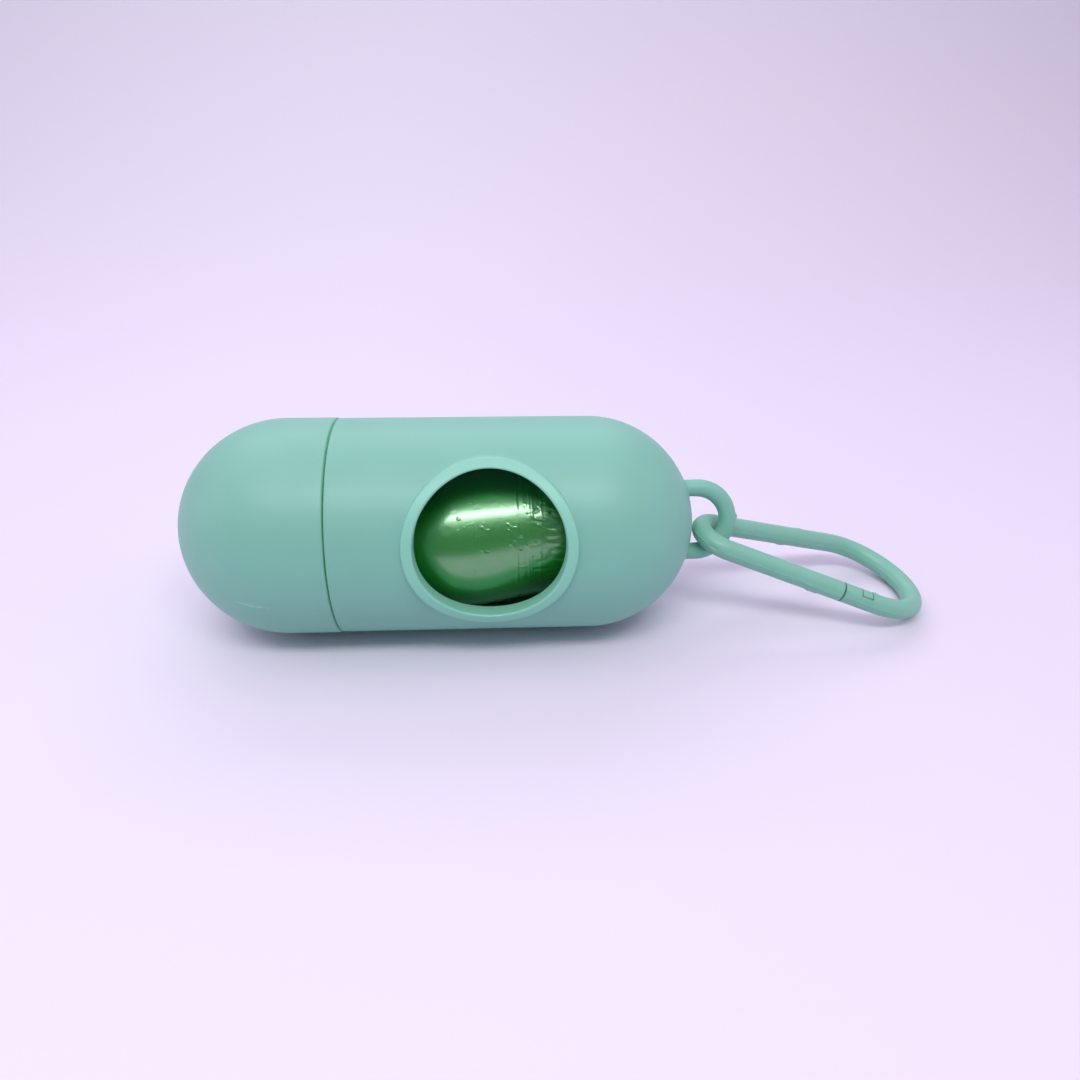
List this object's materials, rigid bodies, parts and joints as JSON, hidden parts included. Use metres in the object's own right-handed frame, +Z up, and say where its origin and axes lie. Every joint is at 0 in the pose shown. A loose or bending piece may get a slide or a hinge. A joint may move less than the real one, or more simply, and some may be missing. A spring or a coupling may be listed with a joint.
{
  "type": "dog waste bag dispenser",
  "caption": "Capsule dispenser for a roll of dog waste bags: screw-on domed cap, round rimmed window to pull bags through, and a loop with a sprung-gate carabiner for a leash.",
  "frame": {"origin": "on the surface that the part lies on, halfway along the whole part from the cap's apex to the carabiner's far end, under the capsule's axis", "axes": "+X along the capsule's axis from the cap towards the loop and carabiner, +Z up from the surface it lies on, and the bag window looks towards -Y and a little up"},
  "size_m": [0.145, 0.0409, 0.0402],
  "materials": {
    "shell_plastic": "satin mint green, injection moulded",
    "clip_plastic": "satin mint green, injection moulded",
    "bag_film": "thin glossy green film, wound and creased",
    "core_cardboard": "plain grey-brown spiral-wound tube"
  },
  "bodies": {
    "body": {"body_shell": "shell_plastic"},
    "cap": {"screw_cap": "shell_plastic"},
    "roll": {"bag_roll": "bag_film", "roll_core": "core_cardboard"},
    "clip": {"carabiner_frame": "clip_plastic"},
    "gate": {"carabiner_gate": "clip_plastic"}
  },
  "joints": [
    {"name": "cap_unscrew", "type": "slide", "parent": "body", "child": "cap", "axis": [-1, 0, 0], "range_m": [0, 0.045]},
    {"name": "roll_spin", "type": "hinge", "parent": "body", "child": "roll", "pos_m": [-0.01542, 0, 0.0187], "axis": [1, 0, 0], "continuous": true},
    {"name": "clip_swing", "type": "hinge", "parent": "body", "child": "clip", "pos_m": [0.02527, -0.00053, 0.01836], "axis": [-0.067, -0.9899, 0.125], "range_deg": [-75, 115]},
    {"name": "gate_open", "type": "hinge", "parent": "clip", "child": "gate", "pos_m": [0.03206, -0.00654, 0.01589], "axis": [0.3412, 0, 0.94], "range_deg": [0, 25], "stiffness_Nm_per_rad": 0.12}
  ]
}
